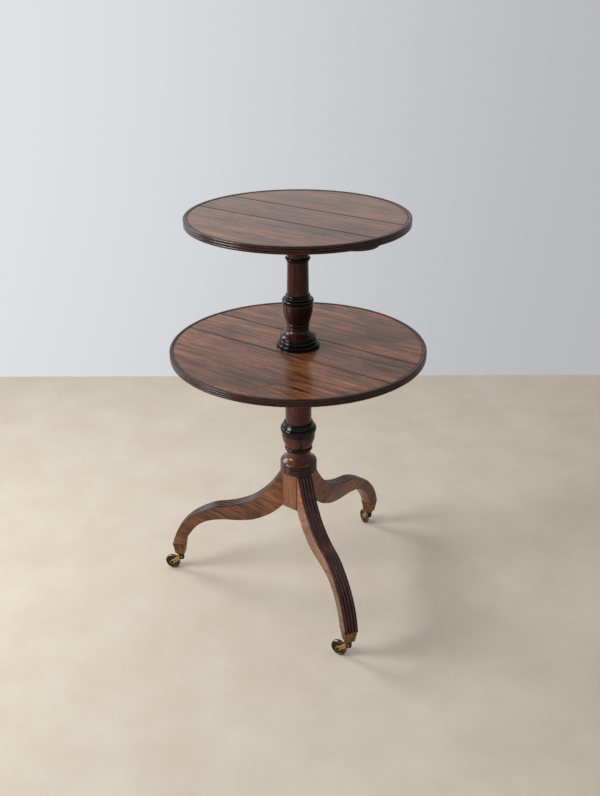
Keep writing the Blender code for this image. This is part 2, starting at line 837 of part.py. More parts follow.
def flap_mesh(name, knuckles):
    """A flap that runs to +Y: its plate, a tab to each knuckle, the knuckles and their bore."""
    low, high = knuckle_radius - flap_thickness, knuckle_radius
    end = hinge_length / 2 - knuckle_overhang
    notch = knuckle_radius + knuckle_clearance
    plate = box(name, (-end, notch, low), (end, flap_width, high))
    flap = bpy.data.objects.new(name, plate)
    parts.objects.link(flap)
    flat_up = 180 / pin_steps
    for number, (start, stop) in enumerate(knuckles):
        tab = box("tab", (start + knuckle_overhang, 0, low), (stop - knuckle_overhang, flap_width / 2, high))
        combine(flap, "UNION", cutter(f"{name}_tab_{number}", tab))
        roll = cone("roll", knuckle_radius, knuckle_radius, start, stop, pin_steps, "X", twist=flat_up)
        combine(flap, "UNION", cutter(f"{name}_knuckle_{number}", roll))
    reach = hinge_length / 2 + overrun
    bore = cylinder("pin_bore", hinge_pin_radius + turning_gap, -reach, reach, pin_steps, axis="X")
    combine(flap, "DIFFERENCE", cutter(f"{name}_bore", bore))
    return finished_mesh(flap)


def flap_meshes():
    """The fixed flap has the two outer knuckles, and the moving flap has the middle one."""
    end, middle = hinge_length / 2, hinge_length / 6
    inner, outer = middle - turning_gap, middle + turning_gap
    fixed = flap_mesh("fixed_flap", [(-end, -outer), (outer, end)])
    moving = flap_mesh("moving_flap", [(-inner, inner)])
    return fixed, moving


def hinges(name, sign, radius, axis, leaf_axis):
    """The two hinges of one leaf: fixed flaps and pins stay, moving flaps go with the leaf."""
    outward = 0 if sign > 0 else 180
    half = hinge_length / 2
    pin = cylinder("pin", hinge_pin_radius, -half, half, pin_steps, axis="X")
    for end, x in zip(("left", "right"), hinge_places(radius)):
        place = (x, axis[1], axis[2])
        piece(f"{name}_{end}_fixed_flap", fixed_flap, brass, column_axis, place, turn=outward + 180)
        piece(f"{name}_{end}_moving_flap", moving_flap, brass, leaf_axis, place, turn=outward)
        piece(f"{name}_{end}_hinge_pin", pin, steel, column_axis, place)


# Bearers

def bearer(name, radius, bottom, hub_radius):
    """A rest with round ends that swings on the column's hub, under the strip and the leaves."""
    half_width = strip_half - bearer_side_margin
    straight = bearer_reach(radius) - half_width
    outline = []
    for centre, start in ((straight, -90), (-straight, 90)):
        for step in range(bearer_end_steps + 1):
            angle = math.radians(start + 180 * step / bearer_end_steps)
            outline.append((centre + half_width * math.cos(angle), half_width * math.sin(angle)))
    blank = slab(name, outline, 0, bearer_thickness)
    rest = piece(name, blank, bearer_mahogany, column_axis, (0, 0, bottom))
    rounding = rest.modifiers.new("edges", "BEVEL")
    rounding.width = bearer_edge
    rounding.segments = 1
    rounding.limit_method = "ANGLE"
    rounding.angle_limit = math.radians(60)
    hole_radius = (hub_radius + turning_gap) / math.cos(math.pi / turning_steps)
    hole = cylinder(f"{name}_hole", hole_radius, bottom - overrun, bottom + bearer_thickness + overrun,
                    turning_steps)
    combine(rest, "DIFFERENCE", cutter(f"{name}_hole", hole, parent=column_axis))


def top_plug():
    """The wooden plug over the fixing at the middle of the top tier."""
    bottom = top_underside + top_spigot_length + seat_gap
    plug = cylinder("top_plug", plug_radius, bottom, top_surface, small_steps)
    piece("top_plug", plug, bearer_mahogany, column_axis)
    hole = cylinder("plug_hole", plug_radius + seat_gap, bottom - overrun, top_surface + overrun, small_steps)
    combine(bpy.data.objects["top_strip"], "DIFFERENCE", cutter("plug_hole", hole, parent=column_axis))


fixed_flap, moving_flap = flap_meshes()
lower_column()
upper_column()
legs_and_castors()
tier("top", top_radius, top_underside, top_spigot_radius + seat_gap,
     top_underside + top_spigot_length + seat_gap)
tier("lower", lower_radius, lower_underside, joint_spigot_radius + seat_gap,
     lower_surface + overrun, base_radius)
bearer("top_bearer", top_radius, top_bearer_bottom, top_hub_radius)
bearer("lower_bearer", lower_radius, lower_bearer_bottom, lower_hub_radius)
top_plug()
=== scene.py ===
"""The looks of a mahogany dumbwaiter table: fine turned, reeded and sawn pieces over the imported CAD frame.

Lengths are in metres and angles in degrees. Sizes come from the frame where it holds them.
"""

import json
import math

import bmesh
import bpy
from mathutils import Matrix, Vector

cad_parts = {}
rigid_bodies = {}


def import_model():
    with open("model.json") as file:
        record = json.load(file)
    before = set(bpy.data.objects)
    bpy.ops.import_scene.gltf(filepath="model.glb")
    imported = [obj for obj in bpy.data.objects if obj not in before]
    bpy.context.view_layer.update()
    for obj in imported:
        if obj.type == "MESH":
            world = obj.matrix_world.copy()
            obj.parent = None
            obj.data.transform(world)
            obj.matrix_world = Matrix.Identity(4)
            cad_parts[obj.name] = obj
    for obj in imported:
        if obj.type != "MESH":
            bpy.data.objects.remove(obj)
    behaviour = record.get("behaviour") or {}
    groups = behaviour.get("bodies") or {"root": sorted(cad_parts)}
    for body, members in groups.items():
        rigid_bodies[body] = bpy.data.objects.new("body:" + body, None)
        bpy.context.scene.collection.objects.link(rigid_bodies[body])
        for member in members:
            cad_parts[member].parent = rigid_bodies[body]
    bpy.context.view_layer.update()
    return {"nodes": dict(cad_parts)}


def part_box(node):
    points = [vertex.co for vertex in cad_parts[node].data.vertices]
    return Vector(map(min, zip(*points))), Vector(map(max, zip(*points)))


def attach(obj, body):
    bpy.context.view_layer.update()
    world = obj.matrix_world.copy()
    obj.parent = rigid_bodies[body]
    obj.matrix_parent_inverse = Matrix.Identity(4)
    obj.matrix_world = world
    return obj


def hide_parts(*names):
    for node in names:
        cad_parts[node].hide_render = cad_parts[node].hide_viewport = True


for old in list(bpy.data.objects):
    bpy.data.objects.remove(old)

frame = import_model()


# Sizes that the frame holds

def spans(node):
    """A node's lowest corner, highest corner and the middle between them."""
    low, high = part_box(node)
    return low, high, (low + high) / 2


strip_low, strip_high, strip_middle = spans("top_strip")
lower_strip_low, lower_strip_high, _ = spans("lower_strip")
axis = Vector((strip_middle.x, strip_middle.y, 0))
top_radius = (strip_high.x - strip_low.x) / 2
lower_radius = (lower_strip_high.x - lower_strip_low.x) / 2
tier_thickness = strip_high.z - strip_low.z
strip_half = (strip_high.y - strip_low.y) / 2
leaf_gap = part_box("top_back_leaf")[0].y - strip_high.y
cup_low, cup_high, _ = spans("left_castor_cup")
cup_bottom, cup_top = cup_low.z, cup_high.z
wheel_low, wheel_high, _ = spans("left_castor_wheel")
wheel_radius = (wheel_high.z - wheel_low.z) / 2
bearer_low, bearer_high, _ = spans("top_bearer")
bearer_width = bearer_high.y - bearer_low.y

# Sizes of the outlines, as in the CAD
seat_gap = 0.0003
cut_overrun = 0.002
lip_height = 0.0011
lip_width = 0.0075
reed_depth = 0.0016
tier_reeds = 3
upper_shaft_radius = 0.0240
lower_shaft_radius = 0.0305
top_hub_radius = 0.019
lower_hub_radius = 0.022
block_sides = 6
block_apothem = 0.036
block_top = 0.331
block_bottom = 0.234
leg_turn = -3.5
leg_root_width = 0.037
leg_toe_width = 0.0325
leg_toe_depth = 0.0315
leg_chamfer = 0.0015
leg_fillet = 0.0018
leg_reed_height = 0.0019
leg_reeds = 4
toe_radius = 0.311
cup_top_side = 0.0315
cup_bottom_side = 0.0235
cup_lip_height = 0.003
cup_lip_proud = 0.0011
wheel_width = 0.010
castor_trail = 0.024
cheek_thickness = 0.0022
cheek_width = 0.0105
crown_radius = 0.0088
crown_height = 0.0045
yoke_radius = 0.0079
axle_head_radius = 0.0034
plug_radius = 0.006
base_margin = 0.0006
base_recess = 0.0003
flap_thickness = 0.0018
knuckle_relief = 0.0032
pocket_gap = 0.0004
leg_angles = {"back": 90.0, "left": 210.0, "front": 330.0}
trail_angles = {"back": 150.0, "left": 200.0, "front": 182.0}

# Small roundings and details of the looks
block_edge = 0.0022
board_edge = 0.0004
bearer_edge = 0.0025
lip_steepness = 2.2
bell_power = 2.6
cup_foot_inset = 0.0012
cup_foot_height = 0.0006
cup_corner = 0.0010
crown_edge_width = 0.0005
crown_edge_height = 0.0006
yoke_edge = 0.0008
cheek_edge = 0.0005
pin_spot_share = 0.62
pin_spot_radius = axle_head_radius * 0.55
axle_spot_radius = axle_head_radius * 0.8
spot_flatness = 0.35
plug_rise = 0.00005
plug_edge = 0.0001
plug_depth = 0.003
screw_radius = 0.0026
screw_slot_half = 0.00035
screw_rise = 0.0002

# Points of an outline that are nearer than this are one point
same_point = 1e-6

# How far each screw of a flap is from its middle, and how far in from its edge
screw_places = ((-0.009, 0.0045), (0.009, 0.0045), (0, 0.0085))

# One side of a wheel as (radius, depth below the side): from its bore over the hub and the web to the tread
wheel_face = (
    (0.0024, 0), (0.0052, 0), (0.0058, 0.0005), (0.0064, 0.0016),
    (wheel_radius - 0.0052, 0.0016), (wheel_radius - 0.0044, 0.0004),
    (wheel_radius - 0.0036, 0), (wheel_radius - 0.0026, 0.0001),
)
tread_edge = ((wheel_radius - 0.0011, 0.0011), (wheel_radius, 0.0027))

# Fineness of the fine pieces
round_steps = 96
tier_steps = 240
wheel_steps = 64
small_steps = 48
bead_steps = 8
curve_steps = 10
leg_steps = 5
lip_steps = 6
cheek_steps = 16
bearer_steps = 32
relief_steps = 32
spot_steps = 20
screw_steps = 10

# Steps of a bead that lie in the groove on each side of its crest
rim_groove_steps = 2
base_groove_steps = 3

# Mouldings as in the CAD, from the top down: kind, share of the height, first and last radius in shaft
# radii, and finish, which is wood, deep or warm wood, black, or black with a lighter crest as a painted
# highlight
upper_mouldings = (
    ("fillet", 0.0241, 1.44, 1.44, "black"),
    ("ogee", 0.1168, 1.36, 1.00, "wood"),
    ("fillet", 0.0514, 1.00, 1.00, "wood"),
    ("bead", 0.0237, 1.03, 1.16, "black"),
    ("fillet", 0.0136, 1.03, 1.03, "black"),
    ("fillet", 0.2908, 0.97, 1.03, "wood"),
    ("bead", 0.0234, 1.06, 1.16, "black"),
    ("fillet", 0.0156, 1.10, 1.14, "black"),
    ("bead", 0.0350, 1.32, 1.48, "black"),
    ("fillet", 0.0117, 1.42, 1.42, "black"),
    ("fillet", 0.0117, 1.37, 1.37, "wood"),
    ("vase", 0.1615, 1.40, 1.07, "deep"),
    ("bead", 0.0273, 1.03, 1.10, "black"),
    ("bell", 0.0934, 1.02, 1.63, "deep"),
    ("fillet", 0.0214, 1.68, 1.70, "black"),
    ("fillet", 0.0078, 1.62, 1.62, "black"),
    ("bead", 0.0292, 1.66, 1.77, "black"),
    ("fillet", 0.0058, 1.72, 1.72, "black"),
    ("bead", 0.0214, 1.84, 1.95, "black"),
    ("fillet", 0.0144, 2.05, 2.05, "black"),
)
lower_mouldings = (
    ("fillet", 0.0217, 1.25, 1.25, "black"),
    ("ogee", 0.1083, 1.18, 1.00, "wood"),
    ("fillet", 0.0289, 1.00, 1.00, "wood"),
    ("bead", 0.0217, 1.00, 1.12, "black"),
    ("fillet", 0.3591, 0.99, 1.01, "wood"),
    ("bead", 0.0199, 1.07, 1.15, "black"),
    ("fillet", 0.0202, 1.12, 1.22, "black"),
    ("bead", 0.0524, 1.27, 1.40, "black"),
    ("fillet", 0.0145, 1.31, 1.31, "black"),
    ("fillet", 0.0145, 1.28, 1.28, "wood"),
    ("vase", 0.1120, 1.29, 0.98, "wood"),
    ("bead", 0.0303, 1.00, 1.09, "black"),
    ("bell", 0.1050, 0.93, 1.42, "warm"),
) + (("bead", 0.0183, 1.40, 1.44, "crested"),) * 5

# A leg's upper and lower edge as in the CAD: shares of its run to the toe, and of its rise over the cup
leg_upper_edge = (
    (0.000, 1.000), (0.035, 0.944), (0.084, 0.847), (0.154, 0.743), (0.279, 0.622), (0.443, 0.542),
    (0.611, 0.500), (0.750, 0.418), (0.855, 0.318), (0.935, 0.197), (0.979, 0.081), (1.000, 0.000),
)
leg_lower_edge = (
    (0.000, 1.000), (0.063, 0.888), (0.133, 0.789), (0.211, 0.714), (0.309, 0.645), (0.446, 0.609),
    (0.611, 0.595), (0.755, 0.536), (0.861, 0.418), (0.935, 0.250), (0.979, 0.118), (1.000, 0.000),
)


# Materials

class Nodes:
    """A short way to build the nodes of a material or of the world."""

    def __init__(self, holder, shader="Principled BSDF"):
        holder.use_nodes = True
        self.holder = holder
        self.tree = holder.node_tree
        self.shader = self.tree.nodes[shader]

    def add(self, kind, **inputs):
        """A node with its inputs fed, where an underscore in a name stands for a space."""
        node = self.tree.nodes.new(kind)
        for key, value in inputs.items():
            self.feed(node, key.replace("_", " "), value)
        return node

    def feed(self, node, key, value):
        """Links a socket to one of a node's inputs, or sets the input to a value."""
        if isinstance(value, bpy.types.NodeSocket):
            self.tree.links.new(value, node.inputs[key])
        else:
            node.inputs[key].default_value = value

    def shade(self, **inputs):
        """Feeds the shader."""
        for key, value in inputs.items():
            self.feed(self.shader, key.replace("_", " "), value)

    def place(self, kind="Object"):
        """The object's own coordinates, or another kind."""
        return self.add("ShaderNodeTexCoord").outputs[kind]

    def mapped(self, scale=(1, 1, 1), offset=(0, 0, 0), tilt=0.0):
        """The object's own coordinates, turned about Y, stretched and moved."""
        turn = (0, math.radians(tilt), 0)
        turned = self.add("ShaderNodeMapping", Vector=self.place(), Rotation=turn).outputs[0]
        return self.add("ShaderNodeMapping", Vector=turned, Location=offset, Scale=scale).outputs[0]

    def noise(self, vector, scale, detail, rough=0.55, distort=0.0):
        """A noise between 0 and 1."""
        node = self.add("ShaderNodeTexNoise", Vector=vector, Scale=scale, Detail=detail, Roughness=rough,
                        Distortion=distort)
        return node.outputs["Fac"]

    def ramp(self, value, stops):
        """A colour ramp from stops of (place, colour or grey)."""
        node = self.add("ShaderNodeValToRGB", Fac=value)
        elements = node.color_ramp.elements
        while len(elements) < len(stops):
            elements.new(0.5)
        for element, (place, tone) in zip(elements, stops):
            element.position = place
            element.color = (*tone, 1) if isinstance(tone, tuple) else (tone, tone, tone, 1)
        return node.outputs["Color"]

    def mix(self, blend, factor, first, second):
        """Two colours mixed. The numbers are the places of a Mix node's colour sockets."""
        node = self.tree.nodes.new("ShaderNodeMix")
        node.data_type = "RGBA"
        node.blend_type = blend
        node.clamp_result = True
        for key, value in ((0, factor), (6, first), (7, second)):
            self.feed(node, key, (*value, 1) if isinstance(value, tuple) else value)
        return node.outputs[2]

    def compute(self, kind, operation, *values):
        """The outputs of a Math or VectorMath node that works on the values."""
        node = self.tree.nodes.new(f"ShaderNode{kind}")
        node.operation = operation
        for key, value in enumerate(values):
            self.feed(node, key, value)
        return node.outputs

    def ranged(self, value, start, end, low, high, way="LINEAR"):
        """A value that goes from low to high while another goes from start to end."""
        node = self.add("ShaderNodeMapRange", Value=value, From_Min=start, From_Max=end, To_Min=low,
                        To_Max=high)
        node.interpolation_type = way
        return node.outputs[0]

    def bump(self, height, strength, distance):
        """Small relief of the surface."""
        node = self.add("ShaderNodeBump", Height=height, Strength=strength, Distance=distance)
        self.feed(self.shader, "Normal", node.outputs[0])


# Noise scales of the wood's layers, and how far its grain is drawn out
streak_scale, figure_scale, pore_scale, patch_scale = 170, 26, 430, 9
grain_stretch = 0.07

# Depth of the relief of the wood's grain, and of worn black wood and metal
grain_depth = 0.0004
wear_depth = 0.0003

# Painted shade, dark and dull, inside a tier's lip and along its joints
painted_shade_colour = (0.006, 0.004, 0.003)
painted_shade_rough = 0.9
painted_shade_amount = 0.9
painted_shade_width = 0.003
painted_shade_wander = 0.8
seam_shade_full, seam_shade_end = 0.0012, 0.0030


def mahogany(name, dark, light, along="X", offset=(0, 0, 0), tilt=0.0, rough=(0.17, 0.30), coat=0.10,
             pores=0.6, blotch=0.4, figure=1.0, relief=0.2, specular=0.45, lip_shade_radius=None):
    """Old waxed mahogany: streaks, a broad figure, short dark pores and worn patches; with a lip's radius,
    also painted shade inside the lip and along the joints.
    """
    nodes = Nodes(bpy.data.materials.new(name))
    stretch = (grain_stretch, 1, 1) if along == "X" else (1, 1, grain_stretch)
    streaks = nodes.noise(nodes.mapped(stretch, offset, tilt), streak_scale * figure, detail=6, rough=0.72,
                          distort=0.6)
    broad = nodes.noise(nodes.mapped(stretch, offset, tilt), figure_scale * figure, detail=4, rough=0.6,
                        distort=1.5)
    fine = nodes.noise(nodes.mapped(stretch, offset, tilt), pore_scale, detail=3, rough=0.6)
    patches = nodes.noise(nodes.mapped(offset=offset), patch_scale, detail=4, rough=0.6)
    tone = nodes.mix("MIX", 0.42, nodes.ramp(streaks, [(0.35, 0.0), (0.65, 1.0)]),
                     nodes.ramp(broad, [(0.29, 0.0), (0.71, 1.0)]))
    middle = tuple(low * 0.55 + high * 0.45 for low, high in zip(dark, light))
    colour = nodes.ramp(tone, [(0.08, dark), (0.5, middle), (0.92, light)])
    colour = nodes.mix("MULTIPLY", pores, colour, nodes.ramp(fine, [(0.38, 0.25), (0.48, 1.0)]))
    worn = nodes.ramp(patches, [(0.34, 1.0 - blotch), (0.66, 1.0)])
    colour = nodes.mix("MULTIPLY", 1.0, colour, worn)
    dullness = nodes.ranged(patches, 0, 1, *rough)
    # Painted shade: the wood is darkened and dulled inside a tier's lip and along its joints
    if lip_shade_radius:
        for factor in (lip_painted_shade(nodes, lip_shade_radius), seam_painted_shade(nodes)):
            colour = nodes.mix("MIX", factor, colour, painted_shade_colour)
            dullness = nodes.mix("MIX", factor, dullness, (painted_shade_rough,) * 3)
    nodes.shade(Base_Color=colour, Roughness=dullness, Specular_IOR_Level=specular, Coat_Weight=coat,
                Coat_Roughness=0.12)
    nodes.bump(nodes.mix("MIX", 0.4, fine, streaks), strength=relief, distance=grain_depth)
    return nodes.holder


def lip_painted_shade(nodes, radius):
    """How much painted shade lies inside a tier's lip, by the distance from the column's axis."""
    flat = nodes.compute("VectorMath", "MULTIPLY", nodes.place(), (1, 1, 0))[0]
    distance = nodes.compute("VectorMath", "LENGTH", flat)["Value"]
    uneven = nodes.noise(nodes.mapped(), 40, detail=3)
    edge = nodes.compute("Math", "MULTIPLY_ADD", uneven, painted_shade_width * painted_shade_wander, distance)[0]
    return nodes.ranged(edge, radius - painted_shade_width, radius + painted_shade_width / 2, 0.0, painted_shade_amount)


def seam_painted_shade(nodes):
    """How much painted shade lies along the two joints of a tier, by the distance from the saw cuts."""
    across = nodes.add("ShaderNodeSeparateXYZ", Vector=nodes.place()).outputs["Y"]
    side = nodes.compute("Math", "ABSOLUTE", across)[0]
    beyond = nodes.compute("Math", "SUBTRACT", side, strip_half + leaf_gap / 2)[0]
    distance = nodes.compute("Math", "ABSOLUTE", beyond)[0]
    return nodes.ranged(distance, seam_shade_full, seam_shade_end, painted_shade_amount, 0.0)


def black_wood(name, tone, worn, rough, specular, coat):
    """Ebonised or blackened mahogany, with red wood at the worn places."""
    nodes = Nodes(bpy.data.materials.new(name))
    patches = nodes.noise(nodes.mapped(), 60, detail=5, rough=0.6)
    rubbed = nodes.ramp(patches, [(0.48, 0.0), (0.72, 1.0)])
    colour = nodes.mix("MIX", rubbed, tone, worn)
    nodes.shade(Base_Color=colour, Roughness=nodes.ranged(patches, 0, 1, *rough),
                Specular_IOR_Level=specular, Coat_Weight=coat, Coat_Roughness=0.08)
    nodes.bump(patches, strength=0.05, distance=wear_depth)
    return nodes.holder


def metal(name, bright, dull, scale, rough, spots):
    """Old cast brass or iron: a bright tone mottled with a dull one, and a soft uneven surface."""
    nodes = Nodes(bpy.data.materials.new(name))
    mottle = nodes.noise(nodes.mapped(), scale, detail=6, rough=0.65, distort=0.5)
    grime = nodes.noise(nodes.mapped(), scale * 0.3, detail=3, rough=0.5)
    colour = nodes.mix("MIX", nodes.ramp(mottle, [(0.40, 0.0), (0.60, spots)]), bright, dull)
    colour = nodes.mix("MULTIPLY", 0.7, colour, nodes.ramp(grime, [(0.35, 0.35), (0.60, 1.0)]))
    nodes.shade(Base_Color=colour, Roughness=nodes.ranged(mottle, 0, 1, *rough), Metallic=1.0)
    nodes.bump(mottle, strength=0.2, distance=wear_depth)
    return nodes.holder


def tier_woods(tier, radius, offsets):
    """A wood for each board of a tier, each from another place of the figure."""
    return {
        board: mahogany(
            f"{tier}_{board}_wood", (0.016, 0.005, 0.003), (0.540, 0.196, 0.080), offset=offset,
            rough=(0.15, 0.28), coat=0.09, specular=0.4, figure=0.7, blotch=0.45,
            lip_shade_radius=radius - lip_width,
        )
        for board, offset in zip(("strip", "back", "front"), offsets)
    }


top_strip_offset = (3.1, 0.7, 0)
top_woods = tier_woods("top", top_radius, (top_strip_offset, (7.3, 2.2, 1), (1.9, 5.4, 2)))
lower_woods = tier_woods("lower", lower_radius, ((9.7, 1.3, 3), (4.4, 8.1, 4), (6.2, 3.6, 5)))
rim_wood = mahogany(
    "rim_wood", (0.010, 0.004, 0.003), (0.130, 0.036, 0.023),
    figure=0.8, relief=0.03, rough=(0.16, 0.28), coat=0.06, specular=0.3,
)
# Black in the grooves between the reeds of a tier's edge: painted shade
painted_groove_shade = black_wood(
    "painted_groove_shade", tone=(0.005, 0.003, 0.003), worn=(0.026, 0.009, 0.007),
    rough=(0.30, 0.45), specular=0.15, coat=0.0,
)
underside_wood = mahogany(
    "underside_wood", (0.040, 0.020, 0.013), (0.120, 0.060, 0.035), rough=(0.5, 0.7), coat=0.0,
)
column_wood = mahogany(
    "column_wood", (0.024, 0.006, 0.005), (0.200, 0.047, 0.033), along="Z",
    figure=1.1, rough=(0.14, 0.26), coat=0.06, blotch=0.5, relief=0.03, specular=0.24,
)
bell_wood = mahogany(
    "bell_wood", (0.026, 0.008, 0.005), (0.250, 0.078, 0.038), along="Z",
    figure=1.1, rough=(0.12, 0.22), coat=0.07, blotch=0.6, relief=0.03, specular=0.24,
)
vase_wood = mahogany(
    "vase_wood", (0.014, 0.004, 0.004), (0.090, 0.022, 0.017), along="Z",
    figure=1.1, rough=(0.14, 0.24), coat=0.04, blotch=0.5, relief=0.03, specular=0.2,
)
block_wood = mahogany("block_wood", (0.130, 0.038, 0.014), (0.370, 0.136, 0.052), along="Z", coat=0.2)
leg_wood = mahogany(
    "leg_wood", (0.050, 0.014, 0.007), (0.530, 0.195, 0.080), tilt=24,
    figure=0.7, rough=(0.30, 0.44), coat=0.04, pores=0.8,
)
bearer_wood = mahogany(
    "bearer_wood", (0.022, 0.008, 0.006), (0.085, 0.031, 0.020), rough=(0.4, 0.6), coat=0.1,
)
plug_wood = mahogany("plug_wood", (0.040, 0.015, 0.010), (0.290, 0.130, 0.070), offset=top_strip_offset)
ring_black = black_wood(
    "ring_black", tone=(0.004, 0.003, 0.003), worn=(0.030, 0.011, 0.009),
    rough=(0.08, 0.17), specular=0.2, coat=0.06,
)
reed_black = black_wood(
    "reed_black", tone=(0.012, 0.005, 0.004), worn=(0.060, 0.021, 0.015),
    rough=(0.24, 0.36), specular=0.22, coat=0.0,
)
# A lighter finish along the leg reeds' crests: painted highlight
reed_crest_highlight = black_wood(
    "reed_crest_highlight", tone=(0.080, 0.029, 0.022), worn=(0.150, 0.053, 0.036),
    rough=(0.24, 0.36), specular=0.35, coat=0.0,
)
# A lighter finish along the crests of the column's base beads: painted highlight
base_crest_highlight = black_wood(
    "base_crest_highlight", tone=(0.070, 0.024, 0.018), worn=(0.140, 0.048, 0.034),
    rough=(0.12, 0.22), specular=0.35, coat=0.04,
)
cup_brass = metal(
    "cup_brass", bright=(0.36, 0.195, 0.080), dull=(0.090, 0.042, 0.028),
    scale=260, rough=(0.34, 0.55), spots=0.95,
)
cheek_brass = metal(
    "cheek_brass", bright=(0.80, 0.50, 0.17), dull=(0.40, 0.22, 0.07),
    scale=200, rough=(0.28, 0.42), spots=0.5,
)
hinge_brass = metal(
    "hinge_brass", bright=(0.34, 0.22, 0.09), dull=(0.11, 0.07, 0.035),
    scale=180, rough=(0.35, 0.55), spots=0.8,
)
wheel_brass = metal(
    "wheel_brass", bright=(0.105, 0.085, 0.050), dull=(0.030, 0.026, 0.020),
    scale=220, rough=(0.34, 0.55), spots=0.8,
)
tread_brass = metal(
    "tread_brass", bright=(0.26, 0.23, 0.15), dull=(0.09, 0.08, 0.055),
    scale=260, rough=(0.30, 0.50), spots=0.7,
)
dark_iron = metal(
    "dark_iron", bright=(0.060, 0.052, 0.048), dull=(0.020, 0.018, 0.017),
    scale=240, rough=(0.30, 0.50), spots=0.6,
)


# Helpers for meshes

def shaped_object(name, shape, materials):
    """An object in the scene from a bmesh and its materials."""
    mesh = bpy.data.meshes.new(name)
    shape.to_mesh(mesh)
    shape.free()
    for material in materials:
        mesh.materials.append(material)
    obj = bpy.data.objects.new(name, mesh)
    bpy.context.scene.collection.objects.link(obj)
    return obj


def finish_piece(name, shape, materials, body, nodes=(), smooth=35.0, location=(0, 0, 0), turn=0.0):
    """A piece from a bmesh, with its materials, that rides on a body and may replace CAD nodes."""
    obj = shaped_object(name, shape, materials)
    obj.data.shade_smooth()
    obj.data.set_sharp_from_angle(angle=math.radians(smooth))
    obj.location = location
    obj.rotation_euler.z = math.radians(turn)
    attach(obj, body)
    if nodes:
        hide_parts(*nodes)
    return obj


def soften(obj, width, segments=2, angle=40.0):
    """Rounds the edges that are sharper than an angle."""
    bevel = obj.modifiers.new("edges", "BEVEL")
    bevel.width = width
    bevel.segments = segments
    bevel.limit_method = "ANGLE"
    bevel.angle_limit = math.radians(angle)
    bevel.harden_normals = True


def toward(angle):
    """The level direction at an angle from +X."""
    return Vector((math.cos(math.radians(angle)), math.sin(math.radians(angle)), 0))


def arc(start, end, steps):
    """Angles in radians from start to end, with both of them."""
    return [start + (end - start) * step / steps for step in range(steps + 1)]


def smooth_through(points, steps):
    """A Catmull-Rom curve through the points, with a number of steps between each two."""
    padded = [points[0]] + list(points) + [points[-1]]
    curve = []
    for corners in zip(padded, padded[1:], padded[2:], padded[3:]):
        for step in range(steps):
            share = step / steps
            curve.append(tuple(
                0.5 * (2 * start + (end - before) * share
                       + (2 * before - 5 * start + 4 * end - after) * share**2
                       + (3 * start - before - 3 * end + after) * share**3)
                for before, start, end, after in zip(*corners)
            ))
    return curve + [tuple(points[-1])]


def moulding(kind, top, height, first, last):
    """Points (radius, height) of one moulding, from its top down."""
    if kind == "fillet":
        return [(first, top), (last, top - height)]
    if kind == "bead":
        return [
            (first + (last - first) * math.sin(angle), top - height * (1 - math.cos(angle)) / 2)
            for angle in arc(0, math.pi, bead_steps)
        ]
    shares = [step / curve_steps for step in range(curve_steps + 1)]
    blend = {
        "ogee": lambda share: (1 - math.cos(math.pi * share)) / 2,
        "vase": lambda share: share**2,
        "bell": lambda share: (1 - math.cos(math.pi * share**bell_power)) / 2,
    }[kind]
    return [(first + (last - first) * blend(share), top - height * share) for share in shares]


def crested(bead, groove, crest, groove_steps):
    """A bead as three bands: its crest has one finish, and the grooves beside it have another."""
    return [
        (bead[:groove_steps + 1], groove),
        (bead[groove_steps:-groove_steps], crest),
        (bead[-groove_steps - 1:], groove),
    ]


def column_bands(mouldings, radius, top, bottom):
    """The outline of a column as bands of points with one finish each."""
    whole = sum(entry[1] for entry in mouldings)
    bands = []
    height_now = top
    for kind, share, first, last, finish in mouldings:
        height = (top - bottom) * share / whole
        points = moulding(kind, height_now, height, first * radius, last * radius)
        # A crested bead gets a lighter crest as a painted highlight
        if finish == "crested":
            bands += crested(points, "black", "crest", base_groove_steps)
        else:
            bands.append((points, finish))
        height_now -= height
    return bands


def turned(bands, finishes, steps):
    """Faces turned about Z from bands of (points, finish). The finishes' order is the materials' order."""
    order = list(finishes)
    shape = bmesh.new()
    previous = None
    for points, finish in bands:
        for radius, height in points:
            if previous and math.dist(previous[0], (radius, height)) < same_point:
                continue
            ring = ring_of(shape, radius, height, steps)
            if previous:
                bridge(shape, previous[1], ring, order.index(finish))
            previous = ((radius, height), ring)
    return shape


def ring_of(shape, radius, height, steps):
    """Points round Z, or a single one on it."""
    if radius < same_point:
        return [shape.verts.new((0, 0, height))]
    angles = arc(0, 2 * math.pi, steps)[:-1]
    return [shape.verts.new((radius * math.cos(angle), radius * math.sin(angle), height)) for angle in angles]


def bridge(shape, upper, lower, material):
    """Faces between two rings of an outline that runs downward, facing out."""
    steps = max(len(upper), len(lower))
    for here in range(steps):
        there = (here + 1) % steps
        if len(upper) == 1:
            corners = (upper[0], lower[here], lower[there])
        elif len(lower) == 1:
            corners = (upper[there], upper[here], lower[0])
        else:
            corners = (upper[there], upper[here], lower[here], lower[there])
        shape.faces.new(corners).material_index = material


def cut_flat(shape, point, normal, material):
    """Keeps the side behind a plane and closes the cut."""
    geometry = shape.verts[:] + shape.edges[:] + shape.faces[:]
    cut = bmesh.ops.bisect_plane(
        shape, geom=geometry, plane_co=point, plane_no=normal, clear_outer=True, dist=same_point
    )["geom_cut"]
    edges = [part for part in cut if isinstance(part, bmesh.types.BMEdge)]
    for face in bmesh.ops.edgenet_fill(shape, edges=edges)["faces"]:
        face.material_index = material


def raise_faces(shape, faces, height):
    """Draws flat faces upward into solids, with every face turned out."""
    raised = bmesh.ops.extrude_face_region(shape, geom=faces)["geom"]
    tops = [vert for vert in raised if isinstance(vert, bmesh.types.BMVert)]
    bmesh.ops.translate(shape, vec=(0, 0, height), verts=tops)
    bmesh.ops.recalc_face_normals(shape, faces=shape.faces)


